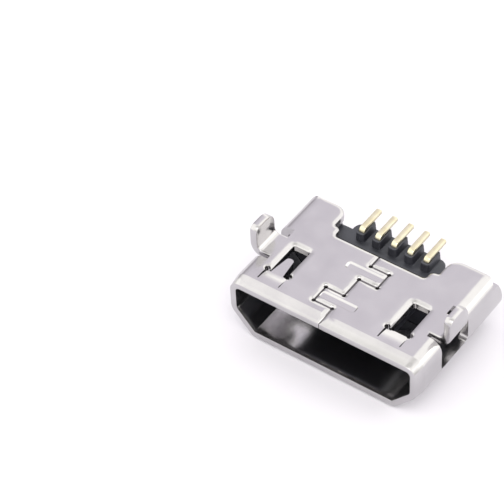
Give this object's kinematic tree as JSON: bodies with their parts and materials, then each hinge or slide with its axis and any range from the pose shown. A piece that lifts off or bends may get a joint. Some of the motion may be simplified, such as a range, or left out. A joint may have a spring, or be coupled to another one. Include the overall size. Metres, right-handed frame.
{
  "type": "micro usb socket",
  "caption": "Micro-B board connector: folded metal shell with a hooked seam and two board legs, a black insulator and a row of solder contacts.",
  "frame": {"origin": "bottom centre of the bounding box, in the plane of the smooth narrow face that the socket rests on", "axes": "+X across the mouth, +Y from the mouth to the solder feet, +Z out of the seam face that meets the board"},
  "size_m": [0.008, 0.0054, 0.0033],
  "materials": {
    "plated_steel": "bright nickel plate",
    "black_plastic": "moulded, satin",
    "gold_plate": "pale gold plate"
  },
  "bodies": {
    "root": {"shell": "plated_steel", "insulator": "black_plastic", "vbus_contact": "gold_plate", "d_minus_contact": "gold_plate", "d_plus_contact": "gold_plate", "id_contact": "gold_plate", "ground_contact": "gold_plate"}
  },
  "joints": []
}
